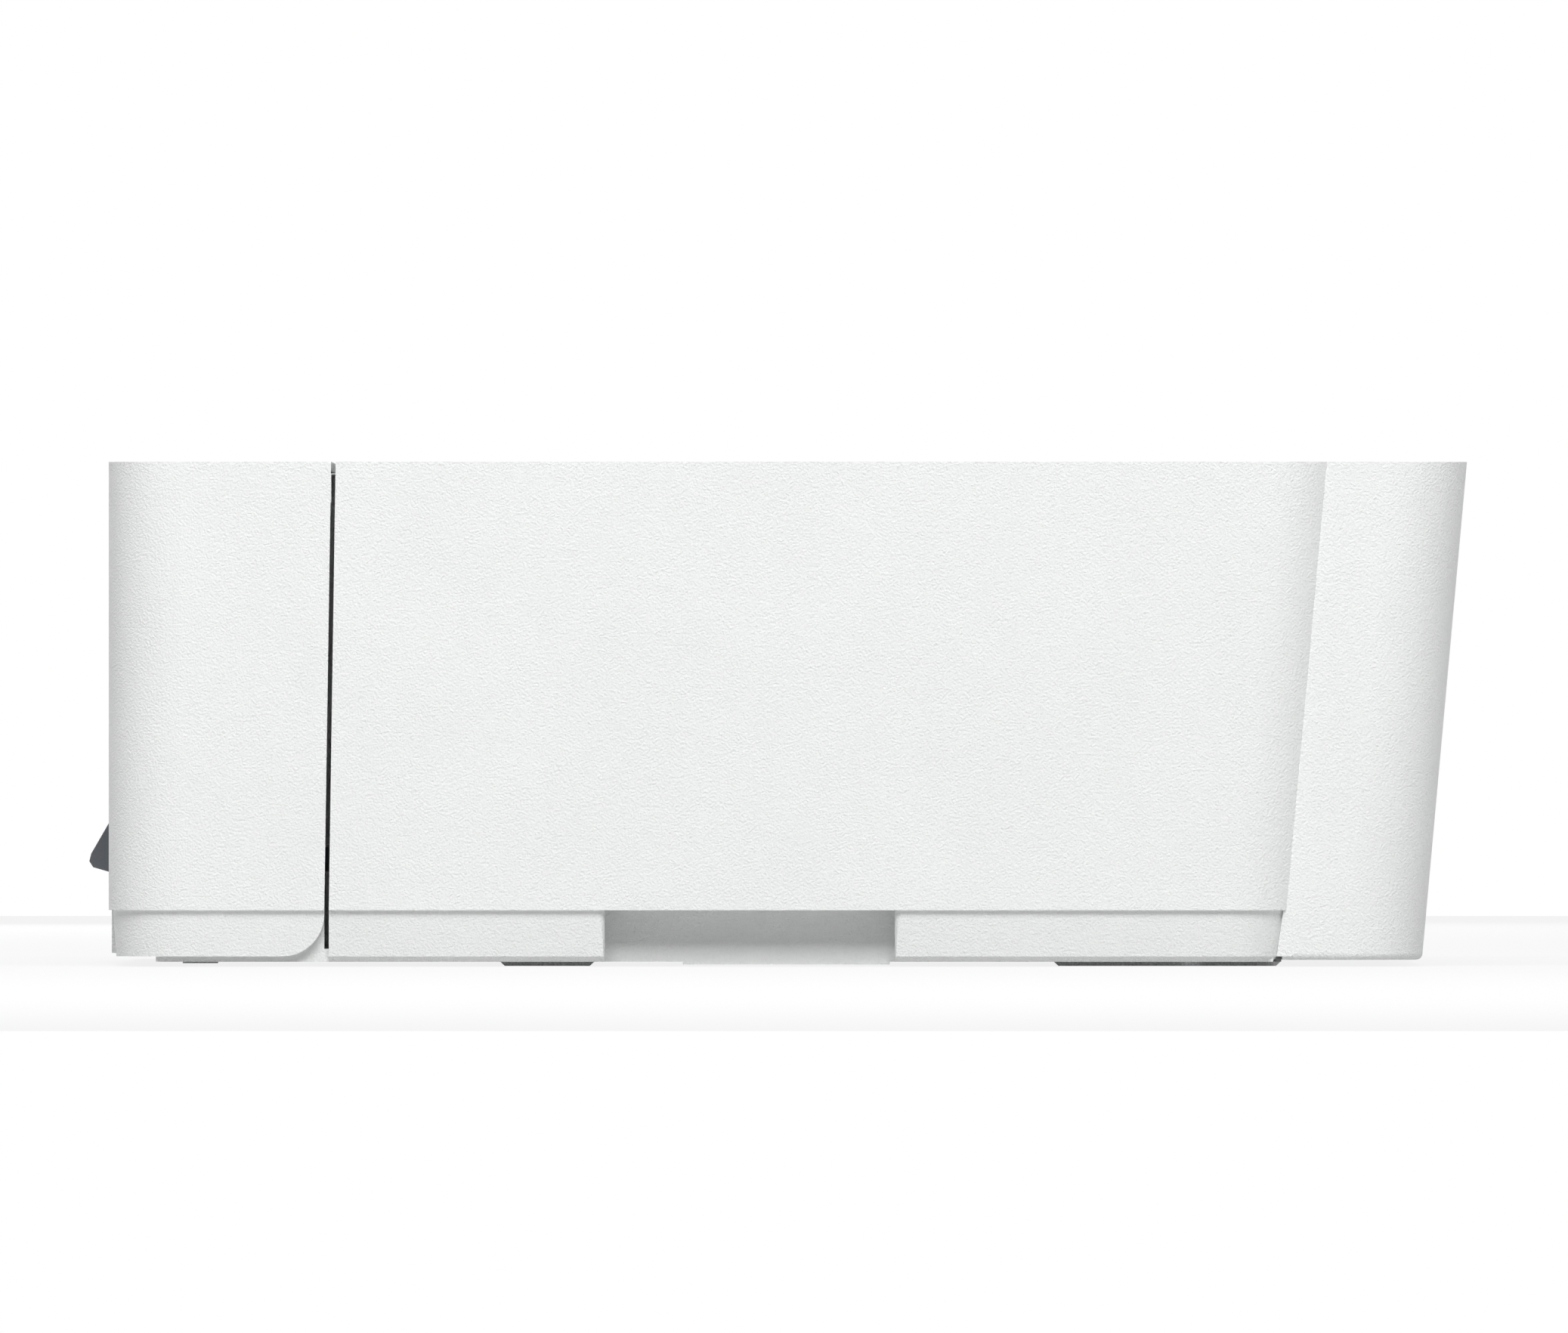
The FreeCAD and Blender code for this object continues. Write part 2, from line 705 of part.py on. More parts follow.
# Screws up into the four posts
screw = rod_along_z(screw_radius, 0, 0, (base_bottom, base_bottom + screw_head))
screw = fuse(screw, [rod_along_z(screw_radius / 2.0, 0, 0, (base_bottom, floor_top + screw_grip))])
screw_places = [V(sx * post_x, y, 0) for sx in (-1, 1) for y in (post_front, post_rear)]
cross = fuse(block((-screw_radius / 2.0, screw_radius / 2.0), (-screw_slot, screw_slot),
                   (base_bottom, base_bottom + screw_head / 2.0)),
             [block((-screw_slot, screw_slot), (-screw_radius / 2.0, screw_radius / 2.0),
                    (base_bottom, base_bottom + screw_head / 2.0))])
screws = []
for place in screw_places:
    base_case = base_case.cut(screw.translated(place))
    screws.append(screw.cut(cross).translated(place))
save("base_case", base_case)
save_many("case_screws", screws)


def pad(span):
    # Rubber pad with bevelled ends, seen from the side
    points = [(span[0], base_bottom), (span[0] + foot_bevel, 0), (span[1] - foot_bevel, 0),
              (span[1], base_bottom)]
    return side_profile(points, (base_half - foot_inset - foot_width, base_half - foot_inset))


save_many("front_feet", both_sides(pad(front_foot)))
save_many("rear_feet", both_sides(pad(rear_foot)))

# Scanner bed with its glass
glass_y = (bed_front + glass_front, bed_rear - glass_rear)
glass_x = (-glass_length / 2.0, glass_length / 2.0)
bed_ceiling = bed_top - glass_thick - bed_wall
bed = block((-bed_half, bed_half), (bed_front, bed_rear), (bed_bottom, bed_top))
bed_room = block((-bed_half + bed_wall, bed_half - bed_wall), (bed_front + bed_wall, bed_rear - bed_wall),
                 (bed_bottom + bed_wall, bed_ceiling))
glass = block(glass_x, glass_y, (bed_top - glass_thick, bed_top))
window = block((glass_x[0] + glass_lip, glass_x[1] - glass_lip),
               (glass_y[0] + glass_lip, glass_y[1] - glass_lip),
               (bed_ceiling - bed_wall, bed_top))
scan_y = (glass_y[0] + glass_y[1]) / 2.0
scan_low = bed_bottom + bed_wall + cover_gap
scan_rod_z = scan_low + bed_wall + scan_rod_radius
scan_rod = rod_along_x(scan_rod_radius, (-bed_half + bed_wall, bed_half - bed_wall), scan_y, scan_rod_z)
save("scanner_bed", bed.cut(bed_room).cut(window).cut(glass))
save("scanner_glass", glass)
save("scan_rod", scan_rod)

# Contact image bar that rides on the rod below the glass
scan_home = glass_x[0] + glass_lip + scan_bar_width / 2.0
scan_bar = block((scan_home - scan_bar_width / 2.0, scan_home + scan_bar_width / 2.0),
                 (glass_y[0] + glass_lip, glass_y[1] - glass_lip), (scan_low, bed_ceiling - cover_gap))
lens_slot = block((scan_home - scan_slot / 2.0, scan_home + scan_slot / 2.0),
                  (glass_y[0] + glass_lip + bed_wall, glass_y[1] - glass_lip - bed_wall),
                  (bed_ceiling - cover_gap - scan_slot / 2.0, bed_ceiling))
scan_bore = rod_along_x(scan_rod_radius + fit_gap, (-half, half), scan_y, scan_rod_z)
save("scan_carriage", scan_bar.cut(scan_bore).cut(lens_slot))
save("scan_lens", lens_slot.common(scan_bar))

# Lid: a tray of moulded skin, its rear edge rounded about the hinge axis
lid = block((-lid_half, lid_half), (lid_front, lid_axis_y), (lid_bottom, height))
lid = fuse(lid, [rod_along_x(lid_thick / 2.0, (-lid_half, lid_half), lid_axis_y, lid_axis_z)])
backing_x = (glass_x[0] + glass_lip / 2.0, glass_x[1] - glass_lip / 2.0)
backing_y = (glass_y[0] + glass_lip / 2.0, glass_y[1] - glass_lip / 2.0)
backing = block(backing_x, backing_y, (bed_top + lid_back_gap / 2.0, height - lid_skin))
lid_pocket = block(backing_x, backing_y, (lid_bottom - wall, height - lid_skin))
lid = lid.cut(lid_pocket)
hinges = []
for x in (-hinge_spread / 2.0, hinge_spread / 2.0):
    ear_x = (x - hinge_ear_width / 2.0, x + hinge_ear_width / 2.0)
    slot_x = (ear_x[0] - hinge_gap, ear_x[1] + hinge_gap)
    pin_x = (ear_x[0] - hinge_pin_reach, ear_x[1] + hinge_pin_reach)
    slot = block(slot_x, (lid_axis_y - hinge_ear_radius - hinge_gap, lid_rear + wall),
                 (lid_bottom - wall, lid_axis_z + hinge_ear_radius + hinge_gap))
    bore = rod_along_x(hinge_pin_radius + fit_gap, (pin_x[0] - fit_gap, pin_x[1] + fit_gap),
                       lid_axis_y, lid_axis_z)
    lid = lid.cut(slot).cut(bore)
    ear = rod_along_x(hinge_ear_radius, ear_x, lid_axis_y, lid_axis_z)
    neck = block(ear_x, (lid_axis_y - hinge_ear_radius, lid_axis_y + hinge_ear_radius),
                 (bed_top - wall, lid_axis_z))
    stem = block(ear_x, (bed_rear, lid_axis_y + hinge_ear_radius), (bed_top - hinge_stem, bed_top))
    pin = rod_along_x(hinge_pin_radius, pin_x, lid_axis_y, lid_axis_z)
    hinges.append(fuse(ear, [neck, stem, pin]))
save("scanner_lid", lid)
save("lid_backing", backing)
save_many("lid_hinges", hinges)


def gear(teeth, module, phase, x, centre):
    # Spur gear across x, with straight-sided teeth; centre is (y, z) and phase places one tooth
    pitch_radius = teeth * module / 2.0
    pitch = full_turn / teeth
    root = pitch_radius - gear_dedendum * module
    tip = pitch_radius + gear_addendum * module
    points = []
    for i in range(teeth):
        middle = phase + i * pitch
        for radius, share in ((root, -root_share), (tip, -tip_share), (tip, tip_share), (root, root_share)):
            angle = math.radians(middle + share * pitch)
            points.append((centre[0] + radius * math.cos(angle), centre[1] + radius * math.sin(angle)))
    return side_profile(points, x)


def bearing(axis, outer, inner, x):
    return rod_along_x(outer, x, axis[0], axis[1]).cut(rod_along_x(inner, x, axis[0], axis[1]))


# Sheet-metal print frame: two cheeks, a rear plate, a front rail and stub axles
left_x = -frame_half - frame_sheet
gear_x = (left_x - slide_gap - gear_width, left_x - slide_gap)
feed_axis = (feed_y, roller_z)
eject_axis = (eject_y, roller_z)
idler_radius = idler_teeth * gear_module / 2.0
mesh_reach = feed_radius + idler_radius + gear_spread
idler_y = (feed_y + eject_y) / 2.0
idler_drop = math.sqrt(mesh_reach ** 2 - ((feed_y - eject_y) / 2.0) ** 2)
idler_axis = (idler_y, roller_z - idler_drop)
pinch_axis = (feed_y, nip_z + pinch_radius)
star_axis = (eject_y, nip_z + star_radius)
cheek = block((frame_half, frame_half + frame_sheet), (frame_front, frame_rear), (floor_top, frame_top))
back_plate = block((-frame_half, frame_half), (frame_rear - frame_sheet, frame_rear),
                   (frame_gate, frame_top))
front_rail = block((-frame_half, frame_half), (frame_front, frame_front + rail_width),
                   (rail_z, rail_z + frame_sheet))
idler_stub = rod_along_x(shaft_radius, (gear_x[0], -frame_half), idler_axis[0], idler_axis[1])
pulley_stub = rod_along_y(axle_radius, pulley_x, (belt_y - belt_width / 2.0, frame_rear), rod_z)
print_frame = fuse(back_plate, both_sides(cheek) + [front_rail, idler_stub, pulley_stub])
for axis, radius in ((feed_axis, shaft_radius), (eject_axis, shaft_radius),
                     (pinch_axis, axle_radius), (star_axis, axle_radius)):
    print_frame = print_frame.cut(rod_along_x(radius + fit_gap, (-half, half), axis[0], axis[1]))
rod_span = (-frame_half - frame_sheet, frame_half + frame_sheet)
print_frame = print_frame.cut(rod_along_x(rod_radius, rod_span, rod_y, rod_z))
print_frame = print_frame.cut(rod_along_x(axle_radius + slide_gap, (-half, -frame_half + wall),
                                          motor_axis[0], motor_axis[1]))
print_frame = print_frame.cut(rod_along_y(axle_radius + slide_gap, -pulley_x,
                                          (frame_rear - wall, frame_rear + wall), rod_z))
save("print_frame", print_frame)
save("carriage_rod", rod_along_x(rod_radius, rod_span, rod_y, rod_z))

# Rollers and the gear train on the left cheek
shaft_x = (gear_x[0], frame_half + frame_sheet + wall)
roll_x = (-roller_half, roller_half)


def toward(here, there):
    return math.degrees(math.atan2(there[1] - here[1], there[0] - here[0]))


def meshed(phase, teeth, here, there, mates):
    # Phase that puts a gap of the mating gear over the nearest tooth of this one
    line = toward(here, there)
    pitch = full_turn / teeth
    offset = (line - phase) % pitch
    return line + half_turn + offset * teeth / mates + half_turn / mates


feed_phase = toward(feed_axis, idler_axis)
idler_phase = meshed(feed_phase, feed_teeth, feed_axis, idler_axis, idler_teeth)
eject_phase = meshed(idler_phase, idler_teeth, idler_axis, eject_axis, feed_teeth)
motor_phase = meshed(feed_phase, feed_teeth, feed_axis, motor_axis, motor_teeth)
feed_roller = fuse(rod_along_x(shaft_radius, shaft_x, feed_y, roller_z),
                   [rod_along_x(roller_radius, roll_x, feed_y, roller_z),
                    gear(feed_teeth, gear_module, feed_phase, gear_x, feed_axis)])
save("feed_roller", feed_roller)
wheels = [rod_along_x(roller_radius, (x - wheel_width / 2.0, x + wheel_width / 2.0), eject_y, roller_z)
          for x in wheel_places]
eject_roller = fuse(rod_along_x(shaft_radius, shaft_x, eject_y, roller_z),
                    wheels + [gear(feed_teeth, gear_module, eject_phase, gear_x, eject_axis)])
save("eject_roller", eject_roller)
idler = gear(idler_teeth, gear_module, idler_phase, gear_x, idler_axis)
save("idler_gear", idler.cut(rod_along_x(shaft_radius + fit_gap, gear_x, idler_axis[0], idler_axis[1])))
pinion = gear(motor_teeth, gear_module, motor_phase, gear_x, motor_axis)
motor_shaft = rod_along_x(axle_radius, (gear_x[0], -frame_half + motor_bore), motor_axis[0],
                          motor_axis[1])
save("motor_pinion", fuse(pinion, [motor_shaft]))
feed_motor = rod_along_x(motor_radius, (-frame_half, -frame_half + motor_length), motor_axis[0],
                         motor_axis[1])
motor_hole = rod_along_x(axle_radius + fit_gap, (-frame_half, -frame_half + motor_bore + fit_gap),
                         motor_axis[0], motor_axis[1])
save("feed_motor", feed_motor.cut(motor_hole))
axle_span = (-frame_half - frame_sheet, frame_half + frame_sheet)
for name, axis, radius, length in (("pinch_rollers", pinch_axis, pinch_radius, pinch_width),
                                   ("star_wheels", star_axis, star_radius, star_width)):
    rolls = [rod_along_x(radius, (x - length / 2.0, x + length / 2.0), axis[0], axis[1])
             for x in wheel_places]
    save(name, fuse(rod_along_x(axle_radius, axle_span, axis[0], axis[1]), rolls))

# Platen with ribs that carry the sheet under the print heads
station_x = (carriage_home - station_width / 2.0, carriage_home + station_width / 2.0)
platen = block((-frame_half, station_x[0]), (platen_front, platen_rear),
               (platen_top - platen_thick, platen_top - platen_rib))
rib_count = int((station_x[0] - platen_rib) / rib_pitch)
ribs = [block((i * rib_pitch - platen_rib, i * rib_pitch + platen_rib), (platen_front, platen_rear),
              (platen_top - platen_thick, platen_top)) for i in range(-rib_count, rib_count + 1)]
save("platen", fuse(platen, ribs))

# Print carriage with two cartridges, held by latches on its front
car_x = (carriage_home - carriage_width / 2.0, carriage_home + carriage_width / 2.0)
bay_width = (carriage_width - carriage_wall * 3.0) / 2.0
bays = [(car_x[0] + carriage_wall, car_x[0] + carriage_wall + bay_width),
        (car_x[1] - carriage_wall - bay_width, car_x[1] - carriage_wall)]
bay_y = (carriage_front + carriage_wall, carriage_rear - carriage_wall)
bay_floor = carriage_bottom + carriage_wall
carriage = block(car_x, (carriage_front, carriage_rear), (carriage_bottom, carriage_top))
lug = block(car_x, (carriage_rear, rod_y + rod_radius + carriage_wall),
            (rod_z - lug_half, rod_z + lug_half))
shoe = block(car_x, (frame_front + carriage_wall, carriage_front),
             (rail_z + frame_sheet + slide_gap, rail_z + frame_sheet + slide_gap + carriage_wall))
run_z = rod_z - pulley_radius - belt_thick / 2.0
clip_y = (rod_y + rod_radius, belt_y + belt_width / 2.0 - slide_gap)
clip_x = (carriage_home - clip_half, carriage_home + clip_half)
jaw_gap = belt_thick / 2.0 + slide_gap
jaws = [block(clip_x, clip_y, (run_z + jaw_gap, run_z + jaw_gap + carriage_wall)),
        block(clip_x, clip_y, (run_z - jaw_gap - carriage_wall, run_z - jaw_gap))]
latch_axis = (carriage_front - latch_thick, latch_z)
carriage = fuse(carriage, [lug, shoe] + jaws)
cartridges = []
latches = []
for bay in bays:
    carriage = carriage.cut(block(bay, bay_y, (bay_floor, carriage_top)))
    middle = (bay[0] + bay[1]) / 2.0
    nozzle = block((middle - nozzle_half, middle + nozzle_half),
                   (bay_y[0] + nozzle_inset, bay_y[1] - nozzle_inset),
                   (carriage_bottom - cartridge_foot, bay_floor + cartridge_gap))
    carriage = carriage.cut(nozzle)
    body = block((bay[0] + cartridge_gap, bay[1] - cartridge_gap),
                 (bay_y[0] + cartridge_gap, bay_y[1] - cartridge_gap),
                 (bay_floor, carriage_top - cartridge_gap))
    cartridges.append(fuse(body, [nozzle]))
    latch_x = (bay[0] + cartridge_gap, bay[1] - cartridge_gap)
    leaf = block(latch_x, (carriage_front - latch_thick * 1.5, carriage_front - latch_thick / 2.0),
                 (latch_z, carriage_top - cartridge_gap))
    knuckle = rod_along_x(latch_thick / 2.0, latch_x, latch_axis[0], latch_axis[1])
    pin = rod_along_x(latch_pin_radius, (bay[0] - cartridge_gap, bay[1] + cartridge_gap), latch_axis[0],
                      latch_axis[1])
    latches.append(fuse(leaf, [knuckle, pin]))
ear_spans = [(car_x[0], bays[0][0]), (bays[0][1], bays[1][0]), (bays[1][1], car_x[1])]
for span in ear_spans:
    ear = block(span, (latch_axis[0] - latch_thick, carriage_front),
                (latch_z - latch_thick, latch_z + latch_thick))
    carriage = fuse(carriage, [ear])
for bay in bays:
    carriage = carriage.cut(rod_along_x(latch_pin_radius + fit_gap, (bay[0] - cartridge_gap - fit_gap,
                                                                     bay[1] + cartridge_gap + fit_gap),
                                        latch_axis[0], latch_axis[1]))
carriage = carriage.cut(rod_along_x(rod_radius + fit_gap, (-half, half), rod_y, rod_z))
save("print_carriage", carriage)
for name, piece in zip(("ink_cartridge_colour", "ink_cartridge_black"), cartridges):
    save(name, piece)
for name, piece in zip(("cartridge_latch_colour", "cartridge_latch_black"), latches):
    save(name, piece)

# Toothed belt that pulls the carriage, its two pulleys and its motor
belt_span = (belt_y - belt_width / 2.0, belt_y + belt_width / 2.0)


def belt_loop(radius):
    ends = [rod_along_y(radius, side * pulley_x, belt_span, rod_z) for side in (-1, 1)]
    middle = block((-pulley_x, pulley_x), belt_span, (rod_z - radius, rod_z + radius))
    return fuse(middle, ends)


save("carriage_belt", belt_loop(pulley_radius + belt_thick).cut(belt_loop(pulley_radius)))
tread = pulley_radius - slide_gap
drive = fuse(rod_along_y(tread, -pulley_x, belt_span, rod_z),
             [rod_along_y(axle_radius, -pulley_x, (belt_span[0], frame_rear + motor_bore), rod_z)])
save("belt_drive_pulley", drive)
tension = rod_along_y(tread, pulley_x, belt_span, rod_z)
save("belt_idler_pulley", tension.cut(rod_along_y(axle_radius + fit_gap, pulley_x, belt_span, rod_z)))
belt_motor = rod_along_y(motor_radius, -pulley_x, (frame_rear, frame_rear + motor_length), rod_z)
save("carriage_motor", belt_motor.cut(rod_along_y(axle_radius + fit_gap, -pulley_x,
                                                  (frame_rear, frame_rear + motor_bore + fit_gap),
                                                  rod_z)))

# Service station at the parking end: a housing on a leg, and a sliding sled with two caps
station_top = carriage_bottom - cartridge_foot - station_gap - sled_thick
housing = block(station_x, (station_front, station_rear), (station_bottom, station_top))
leg = block((cheek_x, station_x[1] - wall), (station_front + wall, station_rear - wall),
            (floor_top, station_bottom))
well = block((station_x[0] + wall, station_x[1] - wall), (station_front + wall, station_rear - wall),
             (station_top - well_depth, station_top))
save("service_station", fuse(housing, [leg]).cut(well))
sled_y = (station_front + wall + slide_gap, station_rear - wall - slide_gap - sled_travel)
sled = block((station_x[0] + wall + slide_gap, station_x[1] - wall - slide_gap), sled_y,
             (station_top - well_depth + fit_gap, station_top))
caps = []
for bay in bays:
    middle = (bay[0] + bay[1]) / 2.0
    caps.append(block((middle - nozzle_half, middle + nozzle_half), (sled_y[0] + wall, sled_y[1] - wall),
                      (station_top - wall, station_top + sled_thick)))
save("cap_sled", fuse(sled, caps))
save("ink_absorber",
     block((cheek_x + absorber_side, station_x[1] - wall), (absorber_y, absorber_y + absorber_length),
           (floor_top, floor_top + absorber_height)))

# Paper turn at the back: cheeks, curved channel, ramp, guide plate and pick-arm brackets
turn_axis = (turn_y, turn_z)
channel_in = turn_radius + turn_channel
channel_out = channel_in + guide_shell
inside = (-cheek_x, cheek_x)
ring = bearing(turn_axis, channel_out, channel_in, inside)
ring = ring.common(block(inside, (turn_y, turn_y + channel_out),
                         (turn_z - channel_out, turn_z + channel_out)))
ramp_y = tray_rear + ramp_gap
ramp = side_profile([(ramp_y, floor_top), (ramp_y + ramp_foot, floor_top),
                     (ramp_y + ramp_foot + ramp_run, turn_z - turn_radius / 2.0),
                     (ramp_y + ramp_foot / 2.0 + ramp_run, turn_z - turn_radius / 2.0)], inside)
ramp = ramp.cut(rod_along_x(channel_in, inside, turn_y, turn_z))
plate_rear = (turn_y - turn_radius - wall, turn_z + turn_radius * plate_lift)
plate_front = (feed_y + roller_radius + wall, nip_z - nip_gap - wall)
plate = side_profile([plate_front, plate_rear, (plate_rear[0], plate_rear[1] - wall),
                      (plate_front[0], plate_front[1] - wall)], inside)
cheek_rear = turn_y + channel_out
cheek_points = [(turn_y - turn_radius * 2.0, floor_top), (cheek_rear, floor_top),
                (cheek_rear, turn_z + channel_out),
                (turn_y - turn_radius, turn_z + channel_out), (pick_pivot_y, plate_rear[1]),
                (pick_pivot_y, plate_front[1] - wall * 2.0),
                (turn_y - turn_radius * 2.0, turn_z - turn_radius)]
guide_cheek = side_profile(cheek_points, (cheek_x, cheek_x + guide_shell))
plate_rise = (plate_rear[1] - plate_front[1]) / (plate_rear[0] - plate_front[0])
bracket_top = plate_front[1] + plate_rise * (pick_pivot_y - plate_front[0]) - wall / 2.0
bracket = block((pick_half + cover_gap, pick_half + cover_gap + panel_wall),
                (pick_pivot_y - shaft_radius * 2.0, pick_pivot_y + shaft_radius * 2.0),
                (pick_pivot_z - shaft_radius * 2.0, bracket_top))
rear_guide = fuse(ring, [ramp, plate] + both_sides(guide_cheek) + both_sides(bracket))
rear_guide = rear_guide.cut(rod_along_x(shaft_radius + fit_gap, (-half, half), turn_y, turn_z))
rear_guide = rear_guide.cut(rod_along_x(axle_radius + fit_gap, (-pick_half * 2.0, pick_half * 2.0),
                                        pick_pivot_y, pick_pivot_z))
save("rear_guide", rear_guide)
turn_wheels = [rod_along_x(turn_radius, (x - turn_half / 2.0, x + turn_half / 2.0), turn_y, turn_z)
               for x in turn_places]
save("turn_roller",
     fuse(rod_along_x(shaft_radius, (-cheek_x - guide_shell, cheek_x + guide_shell), turn_y, turn_z),
          turn_wheels))

# Pick arm that swings down onto the stack, with a rubber roller each side
roll_axis = (pick_pivot_y + pick_reach, pick_pivot_z - pick_drop)
arm_half = pick_arm_thick
arm = side_profile([(pick_pivot_y, pick_pivot_z + pick_arm_thick),
                    (roll_axis[0], roll_axis[1] + pick_arm_thick),
                    (roll_axis[0], roll_axis[1] - pick_arm_thick),
                    (pick_pivot_y, pick_pivot_z - pick_arm_thick)],
                   (-arm_half, arm_half))
hub = rod_along_x(pick_arm_thick, (-pick_half, pick_half), pick_pivot_y, pick_pivot_z)
pivot_pin = rod_along_x(axle_radius,
                        (-pick_half - cover_gap - panel_wall, pick_half + cover_gap + panel_wall),
                        pick_pivot_y, pick_pivot_z)
arm_end = rod_along_x(pick_arm_thick, (-arm_half, arm_half), roll_axis[0], roll_axis[1])
roll_pin = rod_along_x(axle_radius, (-pick_width, pick_width), roll_axis[0], roll_axis[1])
save("pick_arm", fuse(arm, [hub, pivot_pin, arm_end, roll_pin]))
tyre = bearing(roll_axis, pick_radius, axle_radius + fit_gap, (arm_half + slide_gap, pick_width))
save_many("pick_roller", both_sides(tyre))

# Paper tray, open at the back, with its front fascia
tray_floor = tray_bottom + tray_wall
tray_front_y = front + fascia_thick
fascia_top = nose_bottom - nose_gap
floor_plate = block((-tray_half, tray_half), (tray_front_y, tray_rear), (tray_bottom, tray_floor))
side_wall = block((tray_half - tray_wall, tray_half), (tray_front_y, tray_rear), (tray_bottom, tray_top))
lip = block((-tray_half, tray_half), (tray_front_y, tray_front_y + tray_wall), (tray_bottom, fascia_top))
pinion_stub = rod_along_z(axle_radius, 0, guide_y, (tray_bottom, tray_floor + slide_gap + rack_thick))
pull_half = pull_width / 2.0
pull_z = (tray_floor + tray_wall, fascia_top - tray_wall)
pull_tub = block((-pull_half - tray_wall, pull_half + tray_wall),
                 (tray_front_y, front + pull_depth + tray_wall),
                 (pull_z[0] - tray_wall, fascia_top))
pull_room = block((-pull_half, pull_half), (front - wall, front + pull_depth), pull_z)
paper_tray = fuse(floor_plate, both_sides(side_wall) + [lip, pinion_stub, pull_tub])
save("paper_tray", paper_tray.cut(pull_room))
fascia = block((-tray_half - fascia_side, tray_half + fascia_side), (front, tray_front_y),
               (fascia_bottom, fascia_top))
save("tray_front", fascia.cut(pull_room))

# Width guides joined by racks on one pinion, so that both close together
pinion_radius = pinion_teeth * pinion_module / 2.0
rack_pitch = math.pi * pinion_module
guide_z = tray_floor + slide_gap
rack_z = (guide_z, guide_z + rack_thick)
guide_x = tray_half - tray_wall - slide_gap
rack_line = pinion_radius + gear_spread
rack_root = rack_line + gear_dedendum * pinion_module


def rack(side):
    # Rack on the +Y side (1) or the -Y side (-1) of the pinion, reaching towards its own guide
    tip = guide_y + side * (rack_line - gear_addendum * pinion_module)
    root = guide_y + side * rack_root
    back = guide_y + side * (rack_root + rack_width)
    points = [(-side * rack_end, back), (-side * rack_end, root)]
    count = int(rack_toothed / rack_pitch)
    for i in range(count):
        middle = side * (rack_pitch * (i + 0.5) - rack_pitch)
        for level, share in ((root, -root_share), (tip, -tip_share), (tip, tip_share), (root, root_share)):
            points.append((middle + side * share * rack_pitch, level))
    points += [(side * (guide_x - guide_thick / 2.0), root), (side * (guide_x - guide_thick / 2.0), back)]
    return plan_profile(points, rack_z)


for name, side in (("width_guide_right", 1), ("width_guide_left", -1)):
    spans = sorted((side * (guide_x - guide_thick), side * guide_x))
    fence = block(spans, (guide_y - guide_length / 2.0, guide_y + guide_length / 2.0),
                  (guide_z, guide_z + guide_height))
    passing = sorted((guide_y - side * (rack_line - pinion_module * 2.0),
                      guide_y - side * (rack_root + rack_width + slide_gap)))
    notch = block((spans[0] - wall, spans[1] + wall), passing, (guide_z - wall, rack_z[1] + slide_gap))
    save(name, fuse(fence.cut(notch), [rack(side)]))
points = []
for i in range(pinion_teeth):
    middle = half_turn / 2.0 + i * full_turn / pinion_teeth
    for radius, share in ((pinion_radius - gear_dedendum * pinion_module, -root_share),
                          (pinion_radius + gear_addendum * pinion_module, -tip_share),
                          (pinion_radius + gear_addendum * pinion_module, tip_share),
                          (pinion_radius - gear_dedendum * pinion_module, root_share)):
        angle = math.radians(middle + share * full_turn / pinion_teeth)
        points.append((radius * math.cos(angle), guide_y + radius * math.sin(angle)))
guide_pinion = plan_profile(points, rack_z)
save("guide_pinion", guide_pinion.cut(rod_along_z(axle_radius + fit_gap, 0, guide_y, rack_z)))

# Length guide at the front end of the stack
length_guide_y = front + length_guide_back
stop = block((-length_guide_width / 2.0, length_guide_width / 2.0),
             (length_guide_y, length_guide_y + guide_thick), (guide_z, guide_z + guide_height))
heel = block((-length_guide_width / 4.0, length_guide_width / 4.0),
             (length_guide_y - heel_length, length_guide_y),
             (guide_z, guide_z + rack_thick))
save("length_guide", fuse(stop, [heel]))

# Output tray over the paper tray, with an extender that ends in a grey nose
output_half = rail_x + panel_wall
output_y = (tray_front_y + cover_gap, output_rear)
plate_z = output_z + (output_thick - extender_thick) / 2.0
output = block((-output_half, output_half), output_y, (output_z, output_z + output_thick))
sleeve = block((-extender_width / 2.0 - extender_room, extender_width / 2.0 + extender_room),
               (output_y[0] - wall, output_rear - wall),
               (plate_z - extender_room, plate_z + extender_thick + extender_room))
save("output_tray", output.cut(sleeve))
nose_x = (-extender_width / 2.0, extender_width / 2.0)
tip_y = front - tab_reach
nose = side_profile([(front, nose_top), (tip_y + nose_round, nose_knee), (tip_y, nose_tip),
                     (tip_y + nose_round * 2.0, (nose_tip + nose_bottom) / 2.0), (front, nose_bottom),
                     (front + nose_thick, nose_bottom), (front + nose_thick, nose_top)], nose_x)
slide_plate = block(nose_x, (front, output_rear - wall * 2.0), (plate_z, plate_z + extender_thick))
save("output_extender", fuse(nose, [slide_plate]))

# Electronics: main board on the base's standoffs and a boxed power supply
board = block(board_x, board_y, (board_z, board_z + board_thick))
chips = [block((board_mid[0] + dx - chip / 2.0, board_mid[0] + dx + chip / 2.0),
               (board_mid[1] + dy - chip / 2.0, board_mid[1] + dy + chip / 2.0),
               (board_z, board_z + board_thick + chip_height)) for dx, dy, chip in chip_places]
save("main_board", fuse(board, chips))
supply_x = cheek_x + guide_shell + wall
supply_y = tray_rear - supply_back - supply_length
supply = block((supply_x, base_half - grip_depth - wall - supply_out_gap),
               (supply_y, supply_y + supply_length),
               (floor_top, floor_top + supply_height))
save("power_supply", supply.makeFillet(wall, supply.Edges))
